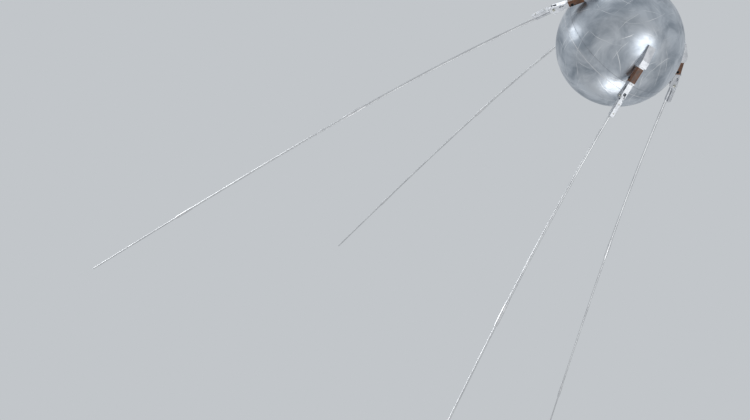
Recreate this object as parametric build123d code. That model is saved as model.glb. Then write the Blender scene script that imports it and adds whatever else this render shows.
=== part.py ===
from build123d import *
import os
from math import cos, degrees, radians, sin

os.makedirs("parts", exist_ok=True)

# A ball-shaped satellite, hung level: nose along +X, up along +Z, origin at the ball's centre.
# Four whip antennas trail to the rear from sprung hinges, one each above, below, left and right.

# Ball
ball_radius = 290.0
casing_wall = 2.0
shield_wall = 1.0
shield_clearance = 0.3
seam_width = 1.0
flange_thickness = 8.0
flange_depth = 50.0
flange_inner_radius = ball_radius - flange_depth

# Battery block, an eight-sided prism that fills the flanges' opening
block_clearance = 0.2
block_sides = 8
block_length = 260.0

# Antenna root: the hinge pin's place in the antenna's own plane, and the fixed mount's slope
hinge_back = 26.0
hinge_standoff = 75.0
mount_angle = 31.0

# Clevis: ears with an eye round the pin and a heel toward the ball, a neck with a window, a flange plate
ear_gap = 14.0
ear_thickness = 5.0
eye_radius = 15.0
heel_reach = 19.0
heel_ahead = 2.0
heel_radius = 4.0
slot_depth = 18.0
neck_start = 62.0
neck_height = 24.0
window_near = 26.0
window_length = 24.0
window_height = 7.0
window_offset = 4.0
flange_plate_thickness = 8.0
flange_plate_width = 31.0
flange_plate_height = 33.0
flange_plate_corner = 3.0

# Insulator
insulator_length = 71.0
insulator_width = 34.0
insulator_height = 28.0
insulator_edge_radius = 8.0
insulator_end_chamfer = 1.5
cross_hole_radius = 6.5
cross_hole_inset = 15.0
cross_hole_offset = -4.0

# Bracket: a wedge on the ball with a blunt toe, a ramp toward the nose, a crest and the insulator's plate
bracket_width = 38.0
bracket_start_polar = 52.0
bracket_toe_height = 8.0
bracket_root_share = 0.9
crest_height = 19.0
crest_length = 29.0
bracket_plate_thickness = 6.0
bracket_plate_margin = 1.5
bracket_edge_radius = 1.5

# Hinge pin
pin_radius = 4.0
pin_clearance = 0.06
pin_head_radius = 6.5
pin_head_thickness = 3.0
pin_head_chamfer = 0.8

# Swivel: tongue on the pin, a bar that runs beside the rod at a small gap, and the rod's socket
tongue_side_clearance = 0.3
tongue_radius = 12.0
swivel_start = 21.0
bar_end = 100.0
bar_height = 15.0
bar_width = 22.0
bar_edge_radius = 1.5
socket_floor = 34.0
socket_end = 92.0
socket_wall = 2.5
socket_lip = 1.0
rod_gap = 1.0

# Rod: three tubes, joined by two ferrules, and its droop under its own weight
tube_radius = {"base": 6.0, "middle": 5.0, "tip": 4.0}
rod_offset = -(tube_radius["base"] + rod_gap)
lower_joint = 1094.0
upper_joint = 2194.0
rod_end = 2840.0
tube_end_gap = 2.0
droop = 512.0

# Ferrules: length and largest radius, and the shares of the length that taper toward the root and the tip
FERRULES = [
    {"length": 130.0, "radius": 8.8},
    {"length": 116.0, "radius": 7.4},
]
root_taper = 0.42
tip_taper = 0.12
ferrule_lip = 0.8

# Antennas: place round the ball from the top, and opening from the ball's axis as they hang
ANTENNAS = [
    {"name": "top", "azimuth": 0.0, "opening": 17.6},
    {"name": "right", "azimuth": 90.0, "opening": 25.2},
    {"name": "bottom", "azimuth": 180.0, "opening": 34.7},
    {"name": "left", "azimuth": -90.0, "opening": 25.2},
]


def save(shape, node):
    """Write one node."""
    export_step(shape, f"parts/{node}.step")


def hinge_plane(angle):
    """The plane of one antenna at the hinge pin: X along the antenna, Y away from the ball."""
    lean = radians(angle)
    return Plane(
        origin=(-hinge_back, 0, ball_radius + hinge_standoff),
        x_dir=(-cos(lean), 0, sin(lean)),
        z_dir=(0, 1, 0),
    )


def place(shape, azimuth):
    """Turn a piece that was made at the top round the ball's axis to its own place."""
    return Rot(azimuth, 0, 0) * shape


def block(x_low, x_high, height, width, y_mid=0.0):
    """A box from x_low to x_high, centred across."""
    return Pos((x_low + x_high) / 2, y_mid, 0) * Box(x_high - x_low, height, width)


def half_shell(outer, wall, front, start=0.0, flange=False):
    """One half of the ball, as a ring profile turned about the X axis."""
    side = 1 if front else -1
    window = Pos(side * (start + outer) / 2, outer / 2) * Rectangle(outer - start, outer)
    profile = (Circle(outer) - Circle(outer - wall)) & window
    if flange:
        height = outer - wall / 2 - flange_inner_radius
        ring = Pos(side * flange_thickness / 2, flange_inner_radius + height / 2)
        profile = profile + ((ring * Rectangle(flange_thickness, height)) & Circle(outer - wall / 2))
    return revolve(profile, Axis.X, 360)


def make_ball():
    """Both casings with their joint flanges, and the heat shield over the front one."""
    front_radius = ball_radius - shield_wall - shield_clearance
    save(half_shell(ball_radius, casing_wall, front=False, flange=True), "rear_casing")
    save(half_shell(front_radius, casing_wall, front=True, flange=True), "front_casing")
    save(half_shell(ball_radius, shield_wall, front=True, start=seam_width), "heat_shield")


def make_battery_block():
    """The heavy sealed block at the middle of the ball."""
    outline = RegularPolygon(flange_inner_radius - block_clearance, block_sides)
    save(extrude(Plane.YZ * outline, block_length / 2, both=True), "battery_block")


def bracket_shape():
    """Wedge bracket in the antenna's plane, its foot cut to the ball."""
    plane = hinge_plane(mount_angle)
    plate_back = -(neck_start + flange_plate_thickness + insulator_length)
    plate_front = plate_back - bracket_plate_thickness
    toe_angle = radians(bracket_start_polar)
    toe_ray = Vector(cos(toe_angle), 0, sin(toe_angle))
    toe = toe_ray * (ball_radius + bracket_toe_height)
    root = toe_ray * (ball_radius * bracket_root_share)
    crest = [
        plane.from_local_coords(Vector(plate_front - crest_length, crest_height, 0)),
        plane.from_local_coords(Vector(plate_front, crest_height, 0)),
        plane.from_local_coords(Vector(plate_front, -insulator_height, 0)),
    ]
    outline = Polyline([(point.X, point.Z) for point in (toe, *crest, root)], close=True)
    wedge = extrude(Plane.XZ * make_face(outline), bracket_width / 2, both=True)
    crest_face, ramp_face = wedge.faces().sort_by(lambda face: -face.normal_at().dot(plane.y_dir))[:2]
    long_edges = (crest_face.edges() + ramp_face.edges()).filter_by(Axis.Y, reverse=True)
    wedge = fillet(long_edges, bracket_edge_radius)
    margin = 2 * bracket_plate_margin
    plate = block(plate_front, plate_back, insulator_height + margin, insulator_width + margin)
    plate = fillet(plate.edges().filter_by(Axis.X), insulator_edge_radius)
    return wedge + plane * plate - Sphere(ball_radius)


def insulator_shape():
    """Moulded block between the bracket and the clevis, with a cross hole, in hinge coordinates."""
    end = -(neck_start + flange_plate_thickness)
    body = block(end - insulator_length, end, insulator_height, insulator_width)
    body = fillet(body.edges().filter_by(Axis.X), insulator_edge_radius)
    ends = body.faces().filter_by(Axis.X).edges()
    body = chamfer(ends, insulator_end_chamfer)
    hole = Pos(end - cross_hole_inset, cross_hole_offset, 0) * Cylinder(cross_hole_radius, insulator_width)
    return body - hole


def clevis_shape():
    """Flange plate, neck with a window, and two ears round the pin, in hinge coordinates."""
    width = ear_gap + 2 * ear_thickness
    eye = Circle(eye_radius)
    heel = Pos(heel_ahead, -heel_reach) * Circle(heel_radius)
    foot = Pos(-neck_start + eye_radius / 2, 0) * Rectangle(eye_radius, neck_height)
    arm = extrude(make_hull(eye.edges() + heel.edges() + foot.edges()), width / 2, both=True)
    window_middle = -window_near - window_length / 2
    window = Pos(window_middle, window_offset) * SlotOverall(window_length, window_height)
    gap = block(-slot_depth, 2 * eye_radius, 4 * eye_radius, ear_gap)
    plate_back = -neck_start - flange_plate_thickness
    plate = block(plate_back, -neck_start, flange_plate_height, flange_plate_width)
    plate = fillet(plate.edges().filter_by(Axis.X), flange_plate_corner)
    return plate + arm - extrude(window, width, both=True) - gap - Cylinder(pin_radius, width + 1)


def pin_shape():
    """Hinge pin with a head at each end."""
    shank = ear_gap + 2 * ear_thickness
    pin = Cylinder(pin_radius, shank)
    for side in (1, -1):
        head = Cylinder(pin_head_radius, pin_head_thickness)
        outer = head.edges().sort_by(Axis.Z)[-1 if side > 0 else 0]
        head = chamfer(outer, pin_head_chamfer)
        pin = pin + Pos(0, 0, side * (shank + pin_head_thickness) / 2) * head
    return pin


def swivel_shape():
    """Tongue on the pin, then a bar with the rod's socket under it, in hinge coordinates."""
    tongue_width = ear_gap - 2 * tongue_side_clearance
    socket_radius = tube_radius["base"] + socket_wall
    tongue_end = Pos(swivel_start + bar_height / 2, 0) * Rectangle(bar_height, 2 * tongue_radius)
    tongue_profile = make_hull(Circle(tongue_radius).edges() + tongue_end.edges())
    tongue = extrude(tongue_profile, tongue_width / 2, both=True)
    bar = block(swivel_start, bar_end, bar_height, bar_width, bar_height / 2)
    bar = fillet(bar.edges().filter_by(Axis.X), bar_edge_radius)
    socket_length = socket_end - swivel_start
    socket = Pos(swivel_start + socket_length / 2, rod_offset, 0) * Rot(0, 90, 0)
    socket = socket * Cylinder(socket_radius, socket_length)
    web = block(swivel_start, socket_end, -rod_offset, bar_width / 2, rod_offset / 2)
    lip = Pos(socket_end + socket_lip, rod_offset, 0) * Rot(0, 90, 0)
    lip = lip * Cylinder(tube_radius["base"] + socket_wall / 2, 2 * socket_lip)
    return tongue + bar + socket + web + lip - Cylinder(pin_radius + pin_clearance, tongue_width + 1)


def droop_plane(opening, azimuth):
    """The plane in which one rod bends: X along the rod at its root, Y the way it droops."""
    root = hinge_plane(opening)
    along = root.x_dir
    down = Vector(0, -sin(radians(azimuth)), -cos(radians(azimuth)))
    across = down - along * down.dot(along)
    origin = root.from_local_coords(Vector(socket_floor, rod_offset, 0))
    return Plane(origin=origin, x_dir=along, z_dir=along.cross(across)), across.length


def mean_curvature(low, high, weight):
    """Curvature of a rod held at one end and bent by its own weight, averaged over a run."""
    rest_low = (1 - low / rod_end) ** 3
    rest_high = (1 - high / rod_end) ** 3
    span = (high - low) / rod_end
    return weight * droop / rod_end ** 2 * 4 * (rest_low - rest_high) / (3 * span)


def rod_lines(weight):
    """Centre lines of the three tubes, each one arc, tangent to the last."""
    runs = []
    start = Vector(0, 0)
    tangent = Vector(1, 0)
    stations = (socket_floor, lower_joint, upper_joint, rod_end)
    for low, high in zip(stations, stations[1:]):
        curvature = mean_curvature(low, high, weight)
        turn = degrees((high - low) * curvature)
        arc = JernArc(start=start, tangent=tangent, radius=1 / curvature, arc_size=turn)
        runs.append(arc)
        start = arc @ 1
        tangent = arc % 1
    return runs


def tube(line, part):
    """One tube's solid along its arc, cut short where a ferrule joins it to the next."""
    cut_start = 0 if part == "base" else tube_end_gap / 2
    cut_end = 0 if part == "tip" else tube_end_gap / 2
    piece = line.trim(cut_start / line.length, 1 - cut_end / line.length)
    return sweep(Plane(origin=piece @ 0, z_dir=piece % 0) * Circle(tube_radius[part]), path=piece)


def ferrule_shape(line, size):
    """A sleeve with tapered ends, turned about the rod at the end of one tube."""
    half = size["length"] / 2
    flat_start = size["length"] * root_taper - half
    flat_end = half - size["length"] * tip_taper
    radius = size["radius"]
    lip = radius * ferrule_lip
    outline = Polyline(
        (-half, 0), (-half, lip), (flat_start, radius), (flat_end, radius), (half, lip), (half, 0), close=True
    )
    sleeve = revolve(make_face(outline), Axis.X, 360)
    return Plane(origin=line @ 1, x_dir=line % 1, z_dir=(0, 0, 1)) * sleeve


def make_antenna(name, azimuth, opening):
    """One antenna: the fixed mount and pin, then what swings on the pin."""
    fixed = hinge_plane(mount_angle)
    save(place(bracket_shape(), azimuth), f"bracket_{name}")
    save(place(fixed * insulator_shape(), azimuth), f"insulator_{name}")
    save(place(fixed * clevis_shape(), azimuth), f"clevis_{name}")
    save(place(fixed * pin_shape(), azimuth), f"hinge_pin_{name}")

    bend, weight = droop_plane(opening, azimuth)
    lines = rod_lines(weight)
    tubes = []
    for line, part in zip(lines, tube_radius):
        solid = bend * tube(line, part)
        tubes.append(solid)
        save(place(solid, azimuth), f"{part}_tube_{name}")
    swivel = hinge_plane(opening) * swivel_shape() - tubes[0]
    save(place(swivel, azimuth), f"swivel_{name}")
    ferrules = []
    for line, size in zip(lines, FERRULES):
        ferrules.append(bend * ferrule_shape(line, size) - tubes[0] - tubes[1] - tubes[2])
    save(place(Compound(children=ferrules), azimuth), f"ferrules_{name}")


make_ball()
make_battery_block()
for antenna in ANTENNAS:
    make_antenna(**antenna)
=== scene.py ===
import logging
import math
from dataclasses import dataclass, replace
from enum import Enum

import bmesh
import bpy
from mathutils import Matrix, Vector


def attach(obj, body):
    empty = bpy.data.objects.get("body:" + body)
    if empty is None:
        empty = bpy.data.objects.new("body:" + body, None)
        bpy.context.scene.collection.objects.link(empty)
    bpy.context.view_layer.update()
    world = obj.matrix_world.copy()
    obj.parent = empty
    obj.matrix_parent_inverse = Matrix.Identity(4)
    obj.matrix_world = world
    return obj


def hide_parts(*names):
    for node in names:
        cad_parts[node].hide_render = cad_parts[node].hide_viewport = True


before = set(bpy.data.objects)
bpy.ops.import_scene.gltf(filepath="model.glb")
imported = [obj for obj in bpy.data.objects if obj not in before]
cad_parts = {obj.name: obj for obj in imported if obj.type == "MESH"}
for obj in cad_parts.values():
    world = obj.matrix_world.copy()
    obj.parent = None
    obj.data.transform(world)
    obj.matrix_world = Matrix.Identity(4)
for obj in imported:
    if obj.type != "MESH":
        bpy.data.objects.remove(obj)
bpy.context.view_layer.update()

# A ball-shaped satellite with four whip antennas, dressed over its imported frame.
# Sizes are in millimetres, the studio's are in metres, and colours are sRGB hex values.

log = logging.getLogger("satellite")

MM = 0.001
PHOTO_WIDTH = 750
# Slope of the fixed mounts from the ball's axis, in degrees.
MOUNT_SLOPE = 31.0
# A Wave texture at a scale of 1 turns through this many radians in one unit.
WAVE_RADIANS = 20
# Points nearer than the first are merged, and heights nearer than the second count as alike, in mm.
MERGE_MM = 0.0005
LEVEL_MM = 0.001
# How deep a small part is set into what carries it, and how far two close faces stay apart, in mm.
SEAT_MM = 0.05
FIT_MM = 0.02
# Edges that turn by more than this are shaded sharp, in degrees.
SHARP_ANGLE = 32

Colour = tuple[float, float, float, float]
Point = tuple[float, float, float]
Section = list[tuple[float, float]]
Tree = bpy.types.NodeTree
Node = bpy.types.Node
Socket = bpy.types.NodeSocket
Shape = bmesh.types.BMesh


def linear(hex_colour: str) -> Colour:
    """Turn an sRGB hex colour into the linear one that Blender's sockets take.

    Args:
        hex_colour: The colour as "#RRGGBB".

    Returns:
        Linear red, green and blue, and an alpha of 1.
    """
    parts = []
    for start in (1, 3, 5):
        share = int(hex_colour[start:start + 2], 16) / 255
        parts.append(share / 12.92 if share <= 0.04045 else ((share + 0.055) / 1.055) ** 2.4)
    return parts[0], parts[1], parts[2], 1.0


def per_metre(feature_mm: float) -> float:
    """Give the scale of a texture on Object coordinates whose features are this many millimetres apart."""
    return 1 / (feature_mm * MM)


def bands_each(feature_mm: float) -> float:
    """Give the scale of a Wave texture whose bands come once in this many millimetres."""
    return per_metre(feature_mm) * math.tau / WAVE_RADIANS


def add_node(tree: Tree, kind: str, links: dict | None = None, **settings) -> Node:
    """Add one node to a tree.

    Args:
        tree: The node tree.
        kind: The node's type, such as "ShaderNodeTexNoise".
        links: Input names or numbers, each with a value, with the output socket that feeds it, or with a
            node whose first output does.
        settings: Properties of the node itself.

    Returns:
        The new node.
    """
    node = tree.nodes.new(kind)
    for name, value in settings.items():
        setattr(node, name, value)
    for name, value in (links or {}).items():
        source = value.outputs[0] if isinstance(value, Node) else value
        if isinstance(source, Socket):
            tree.links.new(source, node.inputs[name])
        else:
            node.inputs[name].default_value = source
    return node


class Side(Enum):
    """The four antennas: their turn from the top about the ball's axis, and their opening, in degrees."""

    TOP = (0.0, 17.6)
    RIGHT = (90.0, 25.2)
    BOTTOM = (180.0, 34.7)
    LEFT = (-90.0, 25.2)

    @property
    def azimuth(self) -> float:
        """The turn about +X, in degrees."""
        return self.value[0]

    @property
    def opening(self) -> float:
        """The rod's angle from the ball's axis, in degrees."""
        return self.value[1]

    @property
    def tag(self) -> str:
        """The side's name as the CAD nodes end in it."""
        return self.name.lower()


@dataclass(frozen=True)
class HingeFrame:
    """The coordinates at one hinge pin: X along the antenna, Y away from the ball, Z along the pin.

    Attributes:
        side: The antenna.
        angle: The slope of X from the ball's axis, in degrees.
        back: How far the pin lies behind the ball's middle, in mm.
        height: The pin's distance from the ball's axis, in mm.
    """

    side: Side
    angle: float
    back: float = 26.0
    height: float = 365.0

    def matrix(self) -> Matrix:
        """Place the hinge's coordinates.

        Returns:
            The matrix from hinge coordinates to the row frame, both in mm.
        """
        lean = math.radians(self.angle)
        along = Vector((-math.cos(lean), 0, math.sin(lean)))
        across = Vector((0, 1, 0))
        out = across.cross(along)
        local = Matrix((along, out, across)).transposed().to_4x4()
        local.translation = Vector((-self.back, 0, self.height))
        return Matrix.Rotation(math.radians(self.side.azimuth), 4, "X") @ local


@dataclass(frozen=True)
class RodLine:
    """The drooping centre line of one antenna, as three arcs, each tangent to the last.

    Attributes:
        side: The antenna.
        stations: Distances from the hinge at which the tubes start and end, in mm.
        offset: The rod's place in the hinge frame's Y, in mm.
        droop: How far the tip of a level rod hangs below a straight one, in mm.
    """

    side: Side
    stations: tuple[float, float, float, float] = (34.0, 1094.0, 2194.0, 2840.0)
    offset: float = -7.0
    droop: float = 512.0

    def matrix(self, station: float) -> Matrix:
        """Give the frame on the rod at a station, X along the rod.

        Args:
            station: Distance from the hinge along the rod, in mm.

        Returns:
            The matrix from that frame to the row frame, both in mm.
        """
        turn = math.radians(self.side.azimuth)
        hinge = HingeFrame(self.side, self.side.opening).matrix()
        unturned = Matrix.Rotation(-turn, 4, "X") @ hinge
        along = unturned.col[0].to_3d()
        down = Vector((0, -math.sin(turn), -math.cos(turn)))
        across = down - along * down.dot(along)
        weight = across.length
        bend = across.normalized()
        place = unturned @ Vector((self.stations[0], self.offset, 0))
        angle = 0.0
        end = self.stations[-1]
        # A rod held at its root bends by its own weight: each arc has the mean curvature of its run.
        for low, high in zip(self.stations, self.stations[1:]):
            rest = (1 - low / end) ** 3 - (1 - high / end) ** 3
            curvature = weight * self.droop / end ** 2 * 4 * rest / (3 * (high - low) / end)
            run = min(station, high) - low
            bent = angle + curvature * run
            step_x = (math.sin(bent) - math.sin(angle)) / curvature
            step_y = (math.cos(angle) - math.cos(bent)) / curvature
            place = place + along * step_x + bend * step_y
            angle = bent
            if station <= high:
                break
        forward = along * math.cos(angle) + bend * math.sin(angle)
        sideways = bend * math.cos(angle) - along * math.sin(angle)
        local = Matrix((forward, sideways, forward.cross(sideways))).transposed().to_4x4()
        local.translation = place
        return Matrix.Rotation(turn, 4, "X") @ local


# Finishes


@dataclass(frozen=True)
class Finish:
    """A surface finish. Each kind fills in its own node tree.

    Attributes:
        name: The real material and how its surface was made.
        colour: The main colour, as sRGB hex.
        roughness: The mean roughness.
    """

    name: str
    colour: str
    roughness: float

    def material(self) -> bpy.types.Material:
        """Make the finish's material at its first use.

        Returns:
            The material.
        """
        found = bpy.data.materials.get(self.name)
        if found:
            return found
        made = bpy.data.materials.new(self.name)
        made.use_nodes = True
        tree = made.node_tree
        tree.nodes.clear()
        shader = self.shader(tree, add_node(tree, "ShaderNodeTexCoord").outputs["Object"])
        add_node(tree, "ShaderNodeOutputMaterial", {"Surface": shader})
        return made

    def shader(self, tree: Tree, place: Socket) -> Node:
        """Fill the tree and give its shader node.

        Args:
            tree: The material's empty node tree.
            place: Object coordinates.

        Returns:
            The Principled node.
        """
        raise NotImplementedError


def edge_wear(tree: Tree, reach_mm: float, patches: Node) -> Node:
    """Find the edges that hands and cloths rub, broken up by patches.

    Args:
        tree: The material's node tree.
        reach_mm: How far in from an edge the wear reaches.
        patches: A noise that leaves the wear out in places.

    Returns:
        A node that gives 1 on a worn edge and 0 elsewhere.
    """
    rounded = add_node(tree, "ShaderNodeBevel", {"Radius": reach_mm * MM}, samples=4)
    surface = add_node(tree, "ShaderNodeNewGeometry")
    alike = add_node(tree, "ShaderNodeVectorMath", {
        0: rounded, 1: surface.outputs["Normal"]}, operation="DOT_PRODUCT")
    edge = add_node(tree, "ShaderNodeMapRange", {
        "Value": alike.outputs["Value"], "From Min": 0.98, "From Max": 0.8, "To Max": 1.2})
    return add_node(tree, "ShaderNodeMath", {0: edge, 1: patches}, operation="MULTIPLY", use_clamp=True)


@dataclass(frozen=True)
class PolishedBall(Finish):
    """Aluminium sheet, spun and polished by hand.

    To the eye: a mirror gone soft, with wide blurred lights, cloudy patches where the polish is duller, fine
    hairlines that run every way, a web of long faint lines, partly scuffing and partly painted reflections of
    lights and wires, painted near-white, and a skin that is not quite even.

    Attributes:
        dull: Colour of the duller patches.
        bright: Colour of the long lines of scuffing, a near-white that also paints reflections of lights
            along them.
        cloud_mm: Size of the cloudy patches.
        wave_mm: Size of the skin's unevenness.
        hairline_mm: Width of the polishing hairlines, drawn coarser than the real 0.1 mm so that they show.
        scuff_and_sheen_mm: Spacing of the long lines of scuffing and painted reflections.
        scuff_and_sheen_turns: The ways that those lines run, in radians.
        wipes: The ways that the hairlines run, in radians, and how many times longer than wide they are.
    """

    dull: str = "#98A1AB"
    # Near-white of the long lines: scuffing, and painted reflections of lights and wires.
    bright: str = "#F4F6F8"
    cloud_mm: float = 110.0
    wave_mm: float = 75.0
    hairline_mm: float = 1.6
    scuff_and_sheen_mm: float = 70.0
    scuff_and_sheen_turns: tuple[float, ...] = (0.3, 1.25, 2.1, -0.8)
    wipes: tuple[tuple[float, float], ...] = ((0.6, 40.0), (2.0, 30.0), (-0.9, 55.0))

    def shader(self, tree: Tree, place: Socket) -> Node:
        """Fill the tree with clouds, hairlines, lines of scuffing and painted reflections, and unevenness.

        Args:
            tree: The material's empty node tree.
            place: Object coordinates.

        Returns:
            The Principled node.
        """
        clouds = add_node(tree, "ShaderNodeTexNoise", {
            "Vector": place, "Scale": per_metre(self.cloud_mm), "Detail": 6.0, "Roughness": 0.6,
            "Distortion": 0.6})
        dulled = add_node(tree, "ShaderNodeMapRange", {"Value": clouds, "From Min": 0.36, "From Max": 0.66})
        colour = add_node(tree, "ShaderNodeMix", {
            "Factor": dulled, "A": linear(self.colour), "B": linear(self.dull)}, data_type="RGBA")
        spread = add_node(tree, "ShaderNodeMapRange", {
            "Value": clouds, "From Min": 0.36, "From Max": 0.66,
            "To Min": self.roughness - 0.05, "To Max": self.roughness + 0.08})
        # Long faint lines, partly scuffing and partly painted reflections of lights and wires.
        scuff_and_sheen_lines = []
        for turn in self.scuff_and_sheen_turns:
            drawn = add_node(tree, "ShaderNodeMapping", {
                "Vector": place, "Rotation": (turn, -turn * 0.8, turn * 1.6)})
            bands = add_node(tree, "ShaderNodeTexWave", {
                "Vector": drawn, "Scale": bands_each(self.scuff_and_sheen_mm), "Distortion": 2.2,
                "Detail": 3.0, "Detail Scale": 0.9})
            line = add_node(tree, "ShaderNodeMapRange", {
                "Value": bands.outputs["Fac"], "From Min": 0.9982, "From Max": 0.9998})
            patch = add_node(tree, "ShaderNodeTexNoise", {
                "Vector": drawn, "Scale": per_metre(self.scuff_and_sheen_mm * 1.9), "Detail": 2.0})
            kept = add_node(tree, "ShaderNodeMapRange", {
                "Value": patch, "From Min": 0.5, "From Max": 0.62, "To Max": 0.9})
            scuff_and_sheen_lines.append(add_node(tree, "ShaderNodeMath", {0: line, 1: kept}, operation="MULTIPLY"))
        scuff_and_sheen_mask = scuff_and_sheen_lines[0]
        for scuff_and_sheen_line in scuff_and_sheen_lines[1:]:
            scuff_and_sheen_mask = add_node(tree, "ShaderNodeMath", {0: scuff_and_sheen_mask, 1: scuff_and_sheen_line}, operation="MAXIMUM")
        # Painted reflection: the long lines are tinted near-white, and are also made rougher as scuffing.
        tint = add_node(tree, "ShaderNodeMix", {
            "Factor": scuff_and_sheen_mask, "A": colour.outputs[2], "B": linear(self.bright)}, data_type="RGBA")
        rough = add_node(tree, "ShaderNodeMath", {0: scuff_and_sheen_mask, 1: 0.1, 2: spread}, operation="MULTIPLY_ADD")
        hairlines = []
        for turn, stretch in self.wipes:
            wiped = add_node(tree, "ShaderNodeMapping", {
                "Vector": place, "Rotation": (turn, turn * 0.7, turn * 1.3),
                "Scale": (1.0, 1.0 / stretch, 1.0)})
            hairlines.append(add_node(tree, "ShaderNodeTexNoise", {
                "Vector": wiped, "Scale": per_metre(self.hairline_mm), "Detail": 2.0}))
        heights = hairlines[0]
        for lines in hairlines[1:]:
            heights = add_node(tree, "ShaderNodeMath", {0: heights, 1: lines}, operation="ADD")
        fine = add_node(tree, "ShaderNodeBump", {"Height": heights, "Strength": 0.05, "Distance": 0.2 * MM})
        waves = add_node(tree, "ShaderNodeTexNoise", {
            "Vector": place, "Scale": per_metre(self.wave_mm), "Detail": 2.0, "Roughness": 0.4})
        skin = add_node(tree, "ShaderNodeBump", {
            "Height": waves, "Strength": 0.4, "Distance": 1.6 * MM, "Normal": fine})
        return add_node(tree, "ShaderNodeBsdfPrincipled", {
            "Base Color": tint.outputs[2], "Metallic": 1.0, "Roughness": rough, "Normal": skin})


@dataclass(frozen=True)
class WorkedMetal(Finish):
    """Metal with the marks of its tool, duller patches from handling, and edges rubbed bright.

    Attributes:
        line_mm: Spacing of the tool's lines.
        stretch: How many times longer than wide a line is.
        along: The lines' direction in the row frame.
        spread: How far the roughness varies.
        relief: Strength of the bump.
        metallic: 1 for bare metal.
        dull: Colour of the handled patches and of oxide.
        patch_mm: Size of those patches.
        worn: Colour of the rubbed edges.
        edge_mm: How far in from an edge the wear reaches, or 0 for none.
    """

    line_mm: float = 0.6
    stretch: float = 25.0
    along: Point = (1.0, 0.0, 0.0)
    spread: float = 0.05
    relief: float = 0.1
    metallic: float = 1.0
    dull: str = "#AEB1B5"
    patch_mm: float = 38.0
    worn: str = "#EDEEEF"
    edge_mm: float = 0.9

    def shader(self, tree: Tree, place: Socket) -> Node:
        """Fill the tree with tool lines, patches and worn edges.

        Args:
            tree: The material's empty node tree.
            place: Object coordinates.

        Returns:
            The Principled node.
        """
        turn = Vector(self.along).rotation_difference(Vector((1, 0, 0))).to_euler()
        aligned = add_node(tree, "ShaderNodeMapping", {"Vector": place, "Rotation": turn})
        squeezed = add_node(tree, "ShaderNodeMapping", {
            "Vector": aligned, "Scale": (1.0 / self.stretch, 1.0, 1.0)})
        lines = add_node(tree, "ShaderNodeTexNoise", {
            "Vector": squeezed, "Scale": per_metre(self.line_mm), "Detail": 3.0})
        patches = add_node(tree, "ShaderNodeTexNoise", {
            "Vector": place, "Scale": per_metre(self.patch_mm), "Detail": 5.0, "Roughness": 0.6})
        handled = add_node(tree, "ShaderNodeMapRange", {"Value": patches, "From Min": 0.38, "From Max": 0.66})
        colour = add_node(tree, "ShaderNodeMix", {
            "Factor": handled, "A": linear(self.colour), "B": linear(self.dull)}, data_type="RGBA").outputs[2]
        if self.edge_mm:
            colour = add_node(tree, "ShaderNodeMix", {
                "Factor": edge_wear(tree, self.edge_mm, patches), "A": colour,
                "B": linear(self.worn)}, data_type="RGBA").outputs[2]
        uneven = add_node(tree, "ShaderNodeMath", {0: lines, 1: patches}, operation="ADD")
        rough = add_node(tree, "ShaderNodeMapRange", {
            "Value": uneven, "From Min": 0.75, "From Max": 1.25,
            "To Min": self.roughness - self.spread, "To Max": self.roughness + self.spread})
        bump = add_node(tree, "ShaderNodeBump", {
            "Height": lines, "Strength": self.relief, "Distance": 0.1 * MM})
        return add_node(tree, "ShaderNodeBsdfPrincipled", {
            "Base Color": colour, "Metallic": self.metallic, "Roughness": rough, "Normal": bump})


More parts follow.
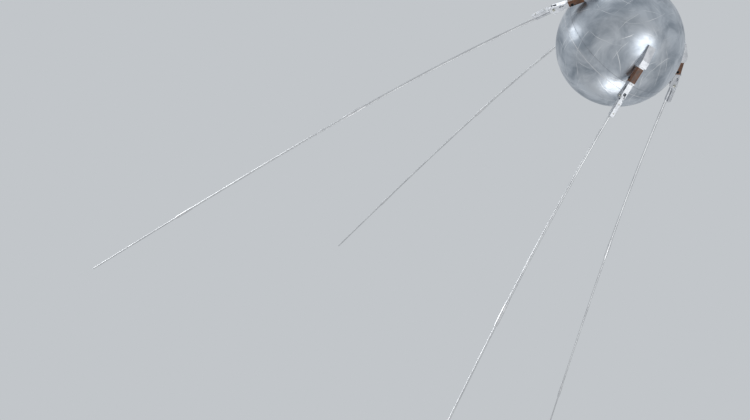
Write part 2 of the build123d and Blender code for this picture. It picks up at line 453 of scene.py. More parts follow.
@dataclass(frozen=True)
class ClothLaminate(Finish):
    """Cloth-and-resin laminate, sawn, milled to shape and varnished.

    To the eye: a warm brown with the cloth's layers as fine dark lines on the cut sides, a faint weave on the
    faces, amber where the resin is thick, a thin gloss over all, and paler rubbed edges.

    Attributes:
        dark: Colour of the cloth's darker layers.
        glow: Colour of the resin where it is thick.
        worn: Colour of the rubbed edges.
        layer_mm: Thickness of one layer, drawn coarser than the real 0.3 mm so that it shows.
        weave_mm: Spacing of the threads.
        patch_mm: Size of the patches of thick resin.
        edge_mm: How far in from an edge the wear reaches.
        side: The antenna whose mount this block is in, because the layers lie in the block's own plane.
    """

    dark: str = "#2F1B10"
    glow: str = "#8A552E"
    worn: str = "#A97C55"
    layer_mm: float = 1.5
    weave_mm: float = 1.2
    patch_mm: float = 26.0
    edge_mm: float = 1.0
    side: Side = Side.TOP

    def shader(self, tree: Tree, place: Socket) -> Node:
        """Fill the tree with layers, weave, resin patches and worn edges in the block's own axes.

        Args:
            tree: The material's empty node tree.
            place: Object coordinates.

        Returns:
            The Principled node.
        """
        turn = HingeFrame(self.side, MOUNT_SLOPE).matrix().to_3x3().transposed().to_euler()
        own = add_node(tree, "ShaderNodeMapping", {"Vector": place, "Rotation": turn})
        layers = add_node(tree, "ShaderNodeTexWave", {
            "Vector": own, "Scale": bands_each(self.layer_mm), "Distortion": 0.9, "Detail": 3.0,
            "Detail Scale": 0.8}, bands_direction="Y")
        threads = []
        for direction in ("X", "Z"):
            threads.append(add_node(tree, "ShaderNodeTexWave", {
                "Vector": own, "Scale": bands_each(self.weave_mm), "Distortion": 0.8, "Detail": 1.0},
                bands_direction=direction).outputs["Fac"])
        weave = add_node(tree, "ShaderNodeMath", {0: threads[0], 1: threads[1]}, operation="MULTIPLY")
        patches = add_node(tree, "ShaderNodeTexNoise", {
            "Vector": own, "Scale": per_metre(self.patch_mm), "Detail": 5.0, "Roughness": 0.62})
        banded = add_node(tree, "ShaderNodeMapRange", {"Value": layers.outputs["Fac"], "To Min": 0.35})
        bands = add_node(tree, "ShaderNodeMix", {
            "Factor": banded, "A": linear(self.dark), "B": linear(self.colour)}, data_type="RGBA")
        thick = add_node(tree, "ShaderNodeMapRange", {
            "Value": patches, "From Min": 0.42, "From Max": 0.72, "To Max": 0.75})
        colour = add_node(tree, "ShaderNodeMix", {
            "Factor": thick, "A": bands.outputs[2], "B": linear(self.glow)}, data_type="RGBA")
        rubbed = add_node(tree, "ShaderNodeMix", {
            "Factor": edge_wear(tree, self.edge_mm, patches), "A": colour.outputs[2],
            "B": linear(self.worn)}, data_type="RGBA")
        rough = add_node(tree, "ShaderNodeMapRange", {
            "Value": patches, "From Min": 0.3, "From Max": 0.7,
            "To Min": self.roughness - 0.06, "To Max": self.roughness + 0.1})
        relief = add_node(tree, "ShaderNodeMath", {
            0: weave, 1: 0.5, 2: layers.outputs["Fac"]}, operation="MULTIPLY_ADD")
        bump = add_node(tree, "ShaderNodeBump", {"Height": relief, "Strength": 0.2, "Distance": 0.06 * MM})
        return add_node(tree, "ShaderNodeBsdfPrincipled", {
            "Base Color": rubbed.outputs[2], "Roughness": rough,
            "Normal": bump, "Coat Weight": 0.25, "Coat Roughness": 0.2})


@dataclass(frozen=True)
class MouldedRubber(Finish):
    """Rubber from a mould: dull, nearly even, with a fine grain and a paler bloom in patches.

    Attributes:
        bloom: Colour of the bloom.
        bloom_mm: Size of its patches.
        grain_mm: Size of the mould's grain.
    """

    bloom: str = "#3A3B3C"
    bloom_mm: float = 9.0
    grain_mm: float = 0.5

    def shader(self, tree: Tree, place: Socket) -> Node:
        """Fill the tree with bloom and grain.

        Args:
            tree: The material's empty node tree.
            place: Object coordinates.

        Returns:
            The Principled node.
        """
        cloud = add_node(tree, "ShaderNodeTexNoise", {
            "Vector": place, "Scale": per_metre(self.bloom_mm), "Detail": 4.0})
        colour = add_node(tree, "ShaderNodeMix", {
            "Factor": cloud, "A": linear(self.colour), "B": linear(self.bloom)}, data_type="RGBA")
        rough = add_node(tree, "ShaderNodeMapRange", {
            "Value": cloud, "To Min": self.roughness - 0.08, "To Max": self.roughness + 0.08})
        grain = add_node(tree, "ShaderNodeTexNoise", {
            "Vector": place, "Scale": per_metre(self.grain_mm), "Detail": 2.0})
        bump = add_node(tree, "ShaderNodeBump", {"Height": grain, "Strength": 0.2, "Distance": 0.05 * MM})
        return add_node(tree, "ShaderNodeBsdfPrincipled", {
            "Base Color": colour.outputs[2], "Roughness": rough, "Normal": bump})


@dataclass(frozen=True)
class PlainMatt(Finish):
    """A matt paint with faint unevenness, for the studio's floor.

    Attributes:
        patch_mm: Size of the uneven patches.
    """

    patch_mm: float = 900.0

    def shader(self, tree: Tree, place: Socket) -> Node:
        """Fill the tree with a faint unevenness in the roughness.

        Args:
            tree: The material's empty node tree.
            place: Object coordinates.

        Returns:
            The Principled node.
        """
        cloud = add_node(tree, "ShaderNodeTexNoise", {
            "Vector": place, "Scale": per_metre(self.patch_mm), "Detail": 2.0})
        rough = add_node(tree, "ShaderNodeMapRange", {
            "Value": cloud, "To Min": self.roughness - 0.05, "To Max": self.roughness + 0.05})
        return add_node(tree, "ShaderNodeBsdfPrincipled", {
            "Base Color": linear(self.colour), "Roughness": rough})


# Spun sheet polished by hand: soft mirror, clouds, hairlines, near-white lines of scuffing and painted
# reflection.
BALL_POLISH = PolishedBall("aluminium_sheet_hand_polished", "#CFD5DC", 0.33)
# Spun and left as it came off the tool: even grey rings, seen only in the joint.
CASING_METAL = WorkedMetal("aluminium_casing_spun", "#B9BCC1", 0.34)
# Cast, then blasted with fine beads: a flat, even light grey with soft lights and rubbed edges.
BRACKET_METAL = WorkedMetal("aluminium_cast_bead_blasted", "#D8DADE", 0.42, line_mm=0.9, stretch=1.0,
                            relief=0.2, dull="#BEC1C6", edge_mm=1.2)
# Milled from bar and left bare: brighter, with fine cutter lines along it and bright edges.
MILLED_METAL = WorkedMetal("aluminium_milled", "#C8CBCF", 0.4, dull="#B2B5BA", relief=0.05)
# Zinc-plated steel: a cooler, slightly yellow grey, smooth, dull in the slots.
PIN_STEEL = WorkedMetal("steel_fastener_zinc_plated", "#BBBBB3", 0.32, dull="#95968F", patch_mm=6.0,
                        edge_mm=0.3)
# Drawn tube: long faint lines down its length, otherwise smooth and bright.
TUBE_METAL = WorkedMetal("aluminium_tube_drawn", "#DEE0E2", 0.4, stretch=60.0, spread=0.03, relief=0.02,
                         dull="#C8CACD", patch_mm=120.0, edge_mm=0.0)
# Turned on a lathe: rings too fine to see, a bright even lustre, grooves darker by their shadow.
FERRULE_METAL = WorkedMetal("aluminium_turned", "#E6E7E9", 0.34, stretch=0.05, spread=0.03,
                            relief=0.06, dull="#D2D4D7", edge_mm=0.5)
# Sprayed dark grey: matt, nearly even.
BLOCK_PAINT = WorkedMetal("sealed_block_sprayed_paint", "#3A3D40", 0.6, metallic=0.0, dull="#2C2E30",
                          worn="#55585A")
# A weld bead dressed with a file: brighter than the shell, with short marks across it.
WELD_METAL = WorkedMetal("aluminium_weld_filed", "#E4E6E9", 0.3, line_mm=1.4, stretch=6.0,
                         dull="#CFD2D6", edge_mm=0.0)
# Moulded black rubber: dull, with a grey bloom.
LEAD_RUBBER = MouldedRubber("rubber_moulded_black", "#1D1E1F", 0.62)
# Moulded silicone rubber in the ball's joint: mid grey, so that the joint stays a faint line.
SEAL_RUBBER = MouldedRubber("silicone_rubber_moulded_grey", "#6F7377", 0.55, bloom="#878B8F")
# Rolled matt paint: pale and even, so that the floor stays plain.
FLOOR_PAINT = PlainMatt("studio_floor_matt", "#DDDFE1", 0.8)


def lined(finish: WorkedMetal, node: str, place: Matrix) -> WorkedMetal:
    """Give one node's own copy of a finish, with its tool lines along the node.

    Args:
        finish: The finish.
        node: The node, which the copy is named for.
        place: The node's frame, its X along the lines.

    Returns:
        The copy.
    """
    return replace(finish, name=f"{finish.name}_{node}", along=tuple(place.col[0].to_3d()))


# Meshes


def show(name: str, data: bpy.types.ID) -> bpy.types.Object:
    """Put an object into the scene.

    Args:
        name: The object's name.
        data: Its mesh, lamp or camera.

    Returns:
        The object.
    """
    made = bpy.data.objects.new(name, data)
    bpy.context.scene.collection.objects.link(made)
    return made


class Piece:
    """A mesh in the making, in mm, which becomes one finished object in the row frame."""

    def __init__(self, name: str) -> None:
        """Start an empty piece with its object's name."""
        self.name = name
        self.mesh = bmesh.new()

    def add(self, part: Shape, place: Matrix) -> None:
        """Put a part into the piece, and free the part.

        Args:
            part: The part, in its own coordinates.
            place: The matrix that puts it in its place.
        """
        part.transform(place)
        flat = bpy.data.meshes.new("part")
        part.to_mesh(flat)
        part.free()
        self.mesh.from_mesh(flat)
        bpy.data.meshes.remove(flat)

    def settle_order(self) -> None:
        """List edges and faces by their corners, because the operators' own order changes between runs."""
        self.mesh.verts.index_update()
        for items in (self.mesh.edges, self.mesh.faces):
            ordered = sorted(items, key=lambda item: sorted(vert.index for vert in item.verts))
            for number, item in enumerate(ordered):
                item.index = number
            items.sort()

    def finish(self, finish: Finish, body: str, slot: str, replaces: tuple[str, ...] = ()) -> None:
        """Write the object, dress it and let it ride.

        Args:
            finish: The finish of the whole piece.
            body: The CAD body that it moves with.
            slot: The record's material slot; not used.
            replaces: CAD nodes that the piece stands for.
        """
        self.mesh.transform(Matrix.Scale(MM, 4))
        bmesh.ops.recalc_face_normals(self.mesh, faces=self.mesh.faces)
        self.settle_order()
        data = bpy.data.meshes.new(self.name)
        self.mesh.to_mesh(data)
        self.mesh.free()
        data.shade_smooth()
        data.set_sharp_from_angle(angle=math.radians(SHARP_ANGLE))
        data.materials.append(finish.material())
        made = show(self.name, data)
        if replaces:
            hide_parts(*replaces)
        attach(made, body)
        log.info("%s: %d faces on %s", self.name, len(data.polygons), body)


def turned(profile: Section, closed: bool = False, steps: int = 48) -> Shape:
    """Turn a profile about the X axis.

    Args:
        profile: Points of (x, radius), in mm. An open profile starts and ends on the axis and makes a solid,
            and a closed one stays off the axis and makes a ring.
        closed: Whether the last point joins the first.
        steps: Divisions of the full turn.

    Returns:
        The turned part.
    """
    part = bmesh.new()
    points = [part.verts.new((x, radius, 0)) for x, radius in profile]
    followers = points[1:] + points[:1] if closed else points[1:]
    edges = [part.edges.new(pair) for pair in zip(points, followers)]
    bmesh.ops.spin(part, geom=points + edges, cent=(0, 0, 0), axis=(1, 0, 0), angle=math.tau,
                   steps=steps, use_merge=True, use_duplicate=False)
    bmesh.ops.remove_doubles(part, verts=part.verts, dist=MERGE_MM)
    return part


def raise_faces(part: Shape, faces: list[bmesh.types.BMFace], height: float) -> None:
    """Extrude flat faces straight up.

    Args:
        part: The part that the faces belong to.
        faces: The faces.
        height: How far they rise, in mm.
    """
    extruded = bmesh.ops.extrude_face_region(part, geom=faces)
    raised = [item for item in extruded["geom"] if isinstance(item, bmesh.types.BMVert)]
    bmesh.ops.translate(part, verts=raised, vec=(0, 0, height))


def ease(part: Shape, edges: list[bmesh.types.BMEdge], width: float) -> None:
    """Round edges over in two steps.

    Args:
        part: The part that the edges belong to.
        edges: The edges.
        width: How far in from an edge the rounding starts, in mm.
    """
    bmesh.ops.bevel(part, geom=edges, offset=width, segments=2, profile=0.5, affect="EDGES", material=-1)


@dataclass(frozen=True)
class SlottedHead:
    """A screw's head with a straight slot and a rounded rim.

    Attributes:
        radius: Radius of the head, in mm.
        height: Height of the head.
        slot_width: Width of the slot.
        slot_depth: Depth of the slot.
        rim_share: Share of the height that is rounded at the rim.
        segments: Segments of the rim.
    """

    radius: float
    height: float
    slot_width: float
    slot_depth: float
    rim_share: float = 0.25
    segments: int = 28

    def make(self) -> Shape:
        """Make the head, standing on the XY plane.

        Returns:
            The head.
        """
        part = bmesh.new()
        bmesh.ops.create_circle(part, cap_ends=True, radius=self.radius, segments=self.segments)
        for edge_place in (-self.slot_width / 2, self.slot_width / 2):
            bmesh.ops.bisect_plane(part, geom=part.verts[:] + part.edges[:] + part.faces[:],
                                   plane_co=(0, edge_place, 0), plane_no=(0, 1, 0))
        floor = self.height - self.slot_depth
        raise_faces(part, part.faces[:], floor)
        lands = [face for face in part.faces
                 if face.calc_center_median().z > floor - LEVEL_MM
                 and abs(face.calc_center_median().y) > self.slot_width / 2]
        raise_faces(part, lands, self.slot_depth)
        bmesh.ops.delete(part, geom=lands, context="FACES_ONLY")
        rim = [edge for edge in part.edges
               if all(vert.co.z > self.height - LEVEL_MM
                      and math.hypot(vert.co.x, vert.co.y) > self.radius - LEVEL_MM for vert in edge.verts)]
        ease(part, rim, self.height * self.rim_share)
        return part


@dataclass(frozen=True)
class HexNut:
    """A hexagon nut with its corners eased.

    Attributes:
        across: Distance across the flats, in mm.
        height: Height of the nut.
        ease_share: Share of the height that is rounded at each rim.
    """

    across: float
    height: float
    ease_share: float = 0.14

    def make(self) -> Shape:
        """Make the nut, standing on the XY plane.

        Returns:
            The nut.
        """
        part = bmesh.new()
        bmesh.ops.create_circle(part, cap_ends=True, radius=self.across / math.sqrt(3), segments=6)
        raise_faces(part, part.faces[:], self.height)
        rims = [edge for edge in part.edges if abs(edge.verts[0].co.z - edge.verts[1].co.z) < LEVEL_MM]
        ease(part, rims, self.height * self.ease_share)
        return part


def standing(foot: Point, up: Point, twist: float) -> Matrix:
    """Give the place of a part made on the XY plane.

    Args:
        foot: Where the middle of its foot goes, in mm.
        up: The direction of the part's own Z.
        twist: Its turn about that direction, in degrees.

    Returns:
        The matrix.
    """
    lean = Vector(up).to_track_quat("Z", "X").to_matrix().to_4x4()
    return Matrix.Translation(foot) @ lean @ Matrix.Rotation(math.radians(twist), 4, "Z")


def dress(node: str, finish: Finish) -> None:
    """Give a CAD node's material slots a finish.

    Args:
        node: The CAD node.
        finish: Its finish.
    """
    for material_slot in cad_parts[node].material_slots:
        material_slot.material = finish.material()
    log.info("%s: dressed in %s", node, finish.name)


# Sub-assemblies of the satellite


@dataclass
class Ball:
    """The pressurised ball: both casings, the heat shield, the joint's seal, a weld bead and the inner block.

    Sizes are in mm.

    Attributes:
        radius: The ball's radius.
        weld_back: How far behind the joint the rear shell is welded to its joint ring.
        weld_width: Width of the weld's bead.
        weld_height: How far the dressed bead stands up from its edges.
        weld_edge: How far its edges stand up.
        weld_foot: How far its foot reaches down from its edges.
        seam_width: Width of the joint between the rear casing and the heat shield.
        seam_floor: Radius of the front casing, which the joint shows.
        seal_height: How far the seal stands up in the joint.
        seal_gap: Its distance from the joint's walls.
        seal_shoulder: How far its shoulders lie under its crown.
        seal_flat: Half the width of its crown.
        steps: Divisions of the full turn for the seal and the weld.
    """

    radius: float = 290.0
    weld_back: float = 41.0
    weld_width: float = 3.2
    weld_height: float = 0.5
    weld_edge: float = 0.05
    weld_foot: float = 0.6
    seam_width: float = 1.0
    seam_floor: float = 288.7
    seal_height: float = 0.8
    seal_gap: float = 0.1
    seal_shoulder: float = 0.25
    seal_flat: float = 0.2
    steps: int = 256

    def build(self) -> None:
        """Dress the ball's nodes, lay the seal in its joint and the weld bead behind it."""
        dress("heat_shield", BALL_POLISH)
        dress("rear_casing", BALL_POLISH)
        dress("front_casing", CASING_METAL)
        dress("battery_block", BLOCK_PAINT)
        self.make_seal()
        self.make_weld()

    def make_weld(self) -> None:
        """Run the dressed weld bead round the rear casing: a low crown, its foot just under the shell."""
        half = self.weld_width / 2
        crown = []
        for share in (-1.0, -0.6, -0.2, 0.2, 0.6, 1.0):
            x = -self.weld_back + share * half
            height = self.weld_height * (1 - share * share) + self.weld_edge
            crown.append((x, math.sqrt(self.radius ** 2 - x * x) + height))
        foot = [(x, radius - self.weld_foot) for x, radius in (crown[-1], crown[0])]
        piece = Piece("casing_weld")
        piece.add(turned(crown + foot, closed=True, steps=self.steps), Matrix())
        piece.finish(WELD_METAL, "hull", "casing")

    def make_seal(self) -> None:
        """Lay the rubber seal that fills the joint round the ball, its crown rounded."""
        low = self.seam_floor + SEAT_MM
        crown = self.seam_floor + self.seal_height
        shoulder = crown - self.seal_shoulder
        near = self.seal_gap
        far = self.seam_width - self.seal_gap
        middle = self.seam_width / 2
        piece = Piece("joint_seal")
        section = [(near, low), (near, shoulder), (middle - self.seal_flat, crown),
                   (middle + self.seal_flat, crown), (far, shoulder), (far, low)]
        piece.add(turned(section, closed=True, steps=self.steps), Matrix())
        piece.finish(SEAL_RUBBER, "hull", "casing")


@dataclass
class Mount:
    """One antenna's fixed mount: bracket, insulator, clevis and hinge pin, with their small parts.

    Sizes are in mm, in the hinge's coordinates: X along the antenna, Y away from the ball, Z along the pin.

    Attributes:
        side: The antenna.
        plate_face: The flange plate's face toward the pin.
        plate_thickness: Its thickness.
        plate_height: Its height.
        plate_screws: Places of its four screws, to each side of its middle in Y and Z.
        plate_screw: The head of each.
        plate_turns: How their slots are turned, in degrees.
        edge_screw: The head of the screw in the plate's outer edge.
        edge_turn: How its slot is turned, in degrees.
        ears: The clevis's width over its ears.
        pin_radius: The hinge pin's radius.
        pin_head: The pin's head.
        pin_turn: How its slot is turned, in degrees.
        washer: Radius and thickness of the pin's washers.
        washer_edge: How far a washer's rim is eased.
        washer_play: How far a washer stays off the pin.
        nut: The pin's nut.
        nut_turn: How the nut is turned, in degrees.
        stud: How far the pin's end stands out past the nut.
        stud_steps: That end's profile: how far from the end, and how far under the pin's radius.
        split_steps: The split pin's profile, from each end: how far from its middle, and its radius.
        split_back: How far the split pin lies from the pin's end.
        hole: X and Y of the insulator's cross hole.
        hole_radius: Its radius.
        insulator_width: The insulator's width.
        grommet_wall: How far the grommet's bore lies inside the hole's wall.
        grommet_lip: How far its lip stands out and over, and where the lip's slanted edge starts.
    """

    side: Side
    plate_face: float = -62.0
    plate_thickness: float = 8.0
    plate_height: float = 33.0
    plate_screws: tuple[float, float] = (14.2, 7.5)
    plate_screw: SlottedHead = SlottedHead(1.9, 1.5, 0.55, 0.7)
    plate_turns: tuple[float, float, float, float] = (12.0, 71.0, 128.0, 40.0)
    edge_screw: SlottedHead = SlottedHead(2.2, 1.1, 0.6, 0.6)
    edge_turn: float = 25.0
    ears: float = 24.0
    pin_radius: float = 4.0
    pin_head: SlottedHead = SlottedHead(6.3, 2.6, 1.2, 1.2)
    pin_turn: float = 33.0
    washer: tuple[float, float] = (6.9, 0.7)
    washer_edge: float = 0.2
    washer_play: float = 0.1
    nut: HexNut = HexNut(10.0, 3.2)
    nut_turn: float = 12.0
    stud: float = 2.2
    stud_steps: tuple[tuple[float, float], ...] = ((0.0, 1.2), (0.6, 0.5), (1.4, 0.5), (1.8, 0.0))
    split_steps: tuple[tuple[float, float], ...] = ((5.4, 0.0), (5.2, 0.55), (4.6, 0.7))
    split_back: float = 1.5
    hole: tuple[float, float] = (-85.0, -4.0)
    hole_radius: float = 6.5
    insulator_width: float = 34.0
    grommet_wall: float = 1.7
    grommet_lip: tuple[float, float] = (0.9, 0.5)

    def build(self) -> None:
        """Dress the mount's nodes and add its small parts."""
        tag = self.side.tag
        dress(f"bracket_{tag}", BRACKET_METAL)
        dress(f"insulator_{tag}", ClothLaminate(
            f"cloth_laminate_milled_varnished_{tag}", "#5E391F", 0.36, side=self.side))
        dress(f"clevis_{tag}", lined(MILLED_METAL, f"clevis_{tag}", self.place()))
        self.make_plate_screws()
        self.make_pin()
        self.make_grommet()

    def place(self) -> Matrix:
        """Give the mount's own place in the row frame."""
        return HingeFrame(self.side, MOUNT_SLOPE).matrix()

    def across(self, x: float = 0.0, y: float = 0.0) -> Matrix:
        """Give the place of a part turned about X that is to lie along the pin's direction.

        Args:
            x: The part's place along the antenna, in mm.
            y: Its place away from the ball.

        Returns:
            The matrix.
        """
        return self.place() @ Matrix.Translation((x, y, 0)) @ Matrix.Rotation(math.radians(-90), 4, "Y")

    def make_plate_screws(self) -> None:
        """Set four slotted screws in the flange plate's face and one in its outer edge."""
        piece = Piece(f"plate_screws_{self.side.tag}")
        reach_y, reach_z = self.plate_screws
        corners = [(y, z) for y in (reach_y, -reach_y) for z in (reach_z, -reach_z)]
        for (y, z), turn in zip(corners, self.plate_turns):
            stand = standing((self.plate_face - SEAT_MM, y, z), (1, 0, 0), turn)
            piece.add(self.plate_screw.make(), self.place() @ stand)
        middle = self.plate_face - self.plate_thickness / 2
        stand = standing((middle, self.plate_height / 2 - SEAT_MM, 0), (0, 1, 0), self.edge_turn)
        piece.add(self.edge_screw.make(), self.place() @ stand)
        piece.finish(PIN_STEEL, "hull", "pin")

    def make_pin(self) -> None:
        """Make the hinge pin: a slotted head at one ear, a nut and split pin at the other, two washers."""
        piece = Piece(f"pin_with_nut_{self.side.tag}")
        half = self.ears / 2
        washer_radius, washer = self.washer
        radius = self.pin_radius
        end = half + washer + self.nut.height + self.stud
        stud = [(-end + along, radius - under) for along, under in self.stud_steps]
        piece.add(turned([(-end, 0)] + stud + [(half, radius), (half, 0)]), self.across())
        for way in (1, -1):
            near = way * (half + FIT_MM)
            far = way * (half + washer)
            rim = way * (half + washer - self.washer_edge)
            bore = radius + self.washer_play
            disc = [(near, bore), (near, washer_radius), (rim, washer_radius),
                    (far, washer_radius - self.washer_edge), (far, bore)]
            piece.add(turned(disc, closed=True), self.across())
        top = standing((0, 0, half + washer), (0, 0, 1), self.pin_turn)
        piece.add(self.pin_head.make(), self.place() @ top)
        bottom = standing((0, 0, -half - washer), (0, 0, -1), self.nut_turn)
        piece.add(self.nut.make(), self.place() @ bottom)
        split = [(-along, thick) for along, thick in self.split_steps] + list(reversed(self.split_steps))
        piece.add(turned(split, steps=12), self.place() @ Matrix.Translation((0, 0, -end + self.split_back)))
        piece.finish(PIN_STEEL, "hull", "pin", (f"hinge_pin_{self.side.tag}",))

    def make_grommet(self) -> None:
        """Line the insulator's cross hole with a rubber grommet, a lip at each side."""
        piece = Piece(f"lead_grommet_{self.side.tag}")
        half = self.insulator_width / 2
        outer = self.hole_radius - SEAT_MM
        inner = self.hole_radius - self.grommet_wall
        lip, edge = self.grommet_lip
        section = [(-half - lip, inner + edge), (-half - lip, outer + edge), (-half - edge, outer + lip),
                   (-half - FIT_MM, outer + lip), (-half - FIT_MM, outer)]
        other = [(-x, radius) for x, radius in reversed(section)]
        profile = section + other + [(half, inner), (-half, inner)]
        piece.add(turned(profile, closed=True, steps=36), self.across(*self.hole))
        piece.finish(LEAD_RUBBER, "hull", "insulator")


@dataclass
class Whip:
    """One antenna's swinging part: swivel, tubes and ferrules.

    Sizes are in mm, in the coordinates of the hinge as the antenna hangs.

    Attributes:
        side: The antenna.
        bar_height: Height of the swivel's bar over the pin's middle.
        clamp_screws: Places of the two clamp screws along the bar.
        clamp_screw: The head of each.
        clamp_turns: How their slots are turned, in degrees.
        tubes: Radii of the three tubes, root to tip.
        ferrules: Length and largest radius of the two ferrules.
        root_taper: Share of a ferrule's length that tapers toward the root.
        tip_taper: Share that tapers toward the tip.
        lip: Share of the largest radius that is left at the ends.
        end_edge: How far a ferrule's ends are eased.
        groove: Depth and width of the grooves turned in a ferrule.
        groove_shares: Their places along its belly, as shares of the belly's length.
    """

    side: Side
    bar_height: float = 15.0
    clamp_screws: tuple[float, float] = (38.0, 84.0)
    clamp_screw: SlottedHead = SlottedHead(3.3, 1.8, 0.9, 0.9)
    clamp_turns: tuple[float, float] = (20.0, 105.0)
    tubes: tuple[float, float, float] = (6.0, 5.0, 4.0)
    ferrules: tuple[tuple[float, float], tuple[float, float]] = ((130.0, 8.8), (116.0, 7.4))
    root_taper: float = 0.42
    tip_taper: float = 0.12
    lip: float = 0.8
    end_edge: float = 0.5
    groove: tuple[float, float] = (0.5, 1.6)
    groove_shares: tuple[float, float, float] = (0.12, 0.5, 0.88)

    def build(self) -> None:
        """Dress the whip's nodes, turn its ferrules and set its screws."""
        swivel = f"swivel_{self.side.tag}"
        dress(swivel, lined(MILLED_METAL, swivel, HingeFrame(self.side, self.side.opening).matrix()))
        line = RodLine(self.side)
        for kind, low, high in zip(("base", "middle", "tip"), line.stations, line.stations[1:]):
            tube = f"{kind}_tube_{self.side.tag}"
            dress(tube, lined(TUBE_METAL, tube, line.matrix((low + high) / 2)))
        self.make_ferrules()
        self.make_clamp_screws()

    def ferrule_profile(self, number: int) -> Section:
        """Give a ferrule's section: a long taper, a belly with grooves, a short taper, and the two bores.

        Args:
            number: 0 for the ferrule nearer the root, 1 for the other.

        Returns:
            Corners of (x, radius), in mm.
        """
        length, radius = self.ferrules[number]
        half = length / 2
        lip = radius * self.lip
        flat_start = length * self.root_taper - half
        flat_end = half - length * self.tip_taper
        depth, width = self.groove
        edge = self.end_edge
        outer = [(-half, lip - edge), (-half + edge, lip), (flat_start, radius)]
        for share in self.groove_shares:
            middle = flat_start + share * (flat_end - flat_start)
            outer += [(middle - width / 2, radius), (middle - width / 4, radius - depth),
                      (middle + width / 4, radius - depth), (middle + width / 2, radius)]
        outer += [(flat_end, radius), (half - edge, lip), (half, lip - edge)]
        wide, narrow = (tube + FIT_MM for tube in self.tubes[number:number + 2])
        return outer + [(half, narrow), (0.0, narrow), (0.0, wide), (-half, wide)]

    def make_ferrules(self) -> None:
        """Turn both ferrules and set them on the rod, in place of the plain ones."""
        line = RodLine(self.side)
        plain = f"ferrules_{self.side.tag}"
        lower, upper = line.stations[1:3]
        piece = Piece(f"turned_{plain}")
        for number, station in enumerate((lower, upper)):
            piece.add(turned(self.ferrule_profile(number), closed=True), line.matrix(station))
        metal = lined(FERRULE_METAL, plain, line.matrix((lower + upper) / 2))
        piece.finish(metal, f"antenna_{self.side.tag}", "ferrule", (plain,))

    def make_clamp_screws(self) -> None:
        """Set the two slotted screws that clamp the rod, in the bar's outer face."""
        piece = Piece(f"clamp_screws_{self.side.tag}")
        place = HingeFrame(self.side, self.side.opening).matrix()
        for along, turn in zip(self.clamp_screws, self.clamp_turns):
            stand = standing((along, self.bar_height - SEAT_MM, 0), (0, 1, 0), turn)
            piece.add(self.clamp_screw.make(), place @ stand)
        piece.finish(PIN_STEEL, f"antenna_{self.side.tag}", "pin")


# Studio


@dataclass(frozen=True)
class SoftBox:
    """A large soft lamp.

    Attributes:
        name: The lamp's name.
        place: Its place, in metres.
        aim: The point it faces, in metres.
        size: Its width across, in metres.
        watts: Its power.
        spread: How wide its light fans out, in degrees.
    """

    name: str
    place: Point
    aim: Point
    size: float
    watts: float
    spread: float = 180.0

    def build(self) -> None:
        """Make the lamp, unseen by the camera itself."""
        data = bpy.data.lights.new(self.name, "AREA")
        data.shape = "DISK"
        data.size = self.size
        data.energy = self.watts
        data.spread = math.radians(self.spread)
        lamp = show(self.name, data)
        lamp.location = self.place
        lamp.rotation_euler = (Vector(self.aim) - Vector(self.place)).to_track_quat("-Z", "Y").to_euler()
        lamp.visible_camera = False


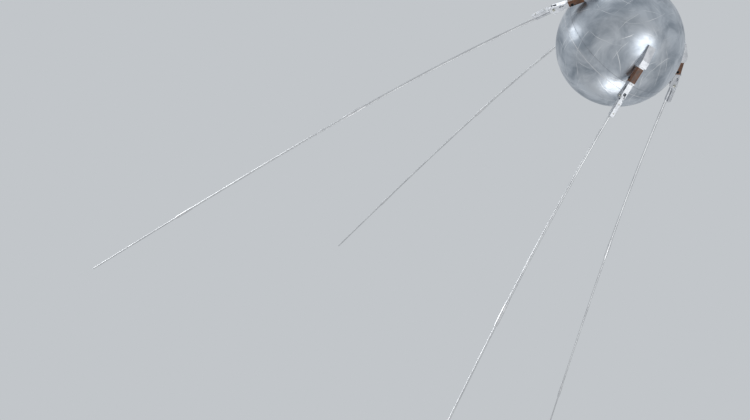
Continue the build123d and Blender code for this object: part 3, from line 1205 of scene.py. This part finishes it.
@dataclass
class Studio:
    """Camera, floor, backdrop and lamps.

    Attributes:
        camera_place: The camera, in metres, at floor level.
        camera_right: The image's right, in the row frame.
        camera_up: The image's up.
        focal_px: Focal length, in pixels of the photograph.
        sensor_mm: The sensor's width.
        floor_drop: How far the floor lies under the ball's centre, in metres.
        floor_radius: The round floor's radius, in metres.
        floor_segments: Segments of its edge.
        clip: The nearest and the furthest distance that the camera sees, in metres.
        backdrop: The backdrop's colour.
        fill: Strength of the soft light from all round.
        lamps: The soft boxes.
    """

    camera_place: Point = (1.7685, -1.980, -3.685)
    camera_right: Point = (0.5209, 0.8475, 0.1020)
    camera_up: Point = (0.5599, -0.4294, 0.7086)
    focal_px: float = 933.6
    sensor_mm: float = 36.0
    floor_drop: float = 3.72
    floor_radius: float = 150.0
    floor_segments: int = 180
    clip: tuple[float, float] = (0.05, 400.0)
    backdrop: str = "#C2C6CA"
    fill: float = 0.7
    lamps: tuple[SoftBox, ...] = (
        # A narrow spread keeps a lamp's light from pooling on the floor or in the ball.
        SoftBox("key_soft_box", (2.16, 0.72, -2.3), (0.0, 0.0, -0.2), 1.9, 8.0, 100.0),
        SoftBox("low_soft_box", (-2.03, 0.94, -2.25), (0.0, 0.0, -0.3), 1.7, 4.4, 100.0),
        SoftBox("top_soft_box", (1.5, -2.5, 5.0), (-0.8, 0.0, 0.0), 4.0, 90.0),
        SoftBox("side_soft_box", (-3.3, -3.5, 0.3), (-2.3, 0.0, -1.0), 4.0, 15.0, 50.0),
    )

    def build(self) -> None:
        """Make the whole studio."""
        self.make_camera()
        self.make_floor()
        self.make_backdrop()
        for lamp in self.lamps:
            lamp.build()
        bpy.context.scene.view_settings.view_transform = "Standard"

    def make_camera(self) -> None:
        """Make the camera at the photograph's viewing angle."""
        data = bpy.data.cameras.new("photo_camera")
        data.sensor_width = self.sensor_mm
        data.lens = self.focal_px / PHOTO_WIDTH * self.sensor_mm
        data.clip_start, data.clip_end = self.clip
        camera = show("photo_camera", data)
        right = Vector(self.camera_right).normalized()
        back = right.cross(Vector(self.camera_up)).normalized()
        turn = Matrix((right, back.cross(right), back)).transposed()
        camera.matrix_world = Matrix.Translation(self.camera_place) @ turn.to_4x4()
        bpy.context.scene.camera = camera

    def make_floor(self) -> None:
        """Make the plain pale floor, round so that no corner breaks the horizon."""
        part = bmesh.new()
        bmesh.ops.create_circle(part, cap_ends=True, radius=self.floor_radius, segments=self.floor_segments)
        bmesh.ops.translate(part, verts=part.verts, vec=(0, 0, -self.floor_drop))
        data = bpy.data.meshes.new("studio_floor")
        part.to_mesh(data)
        part.free()
        data.materials.append(FLOOR_PAINT.material())
        show("studio_floor", data)

    def make_backdrop(self) -> None:
        """Make the plain backdrop, which the camera and metal see, and the soft light from all round."""
        world = bpy.data.worlds.new("studio_world")
        world.use_nodes = True
        tree = world.node_tree
        tree.nodes.clear()
        path = add_node(tree, "ShaderNodeLightPath")
        seen = add_node(tree, "ShaderNodeMath", {
            0: path.outputs["Is Camera Ray"], 1: path.outputs["Is Glossy Ray"]}, operation="MAXIMUM")
        seen = add_node(tree, "ShaderNodeMath", {
            0: seen, 1: path.outputs["Is Transmission Ray"]}, operation="MAXIMUM")
        light = add_node(tree, "ShaderNodeBackground", {"Color": (1.0, 1.0, 1.0, 1.0), "Strength": self.fill})
        shown = add_node(tree, "ShaderNodeBackground", {"Color": linear(self.backdrop), "Strength": 1.0})
        both = add_node(tree, "ShaderNodeMixShader", {"Fac": seen, 1: light, 2: shown})
        add_node(tree, "ShaderNodeOutputWorld", {"Surface": both})
        bpy.context.scene.world = world


def main() -> None:
    """Build the satellite's looks and the studio."""
    logging.basicConfig(level=logging.INFO, format="%(message)s")
    Studio().build()
    Ball().build()
    for side in Side:
        Mount(side).build()
        Whip(side).build()


if __name__ == "__main__":
    main()
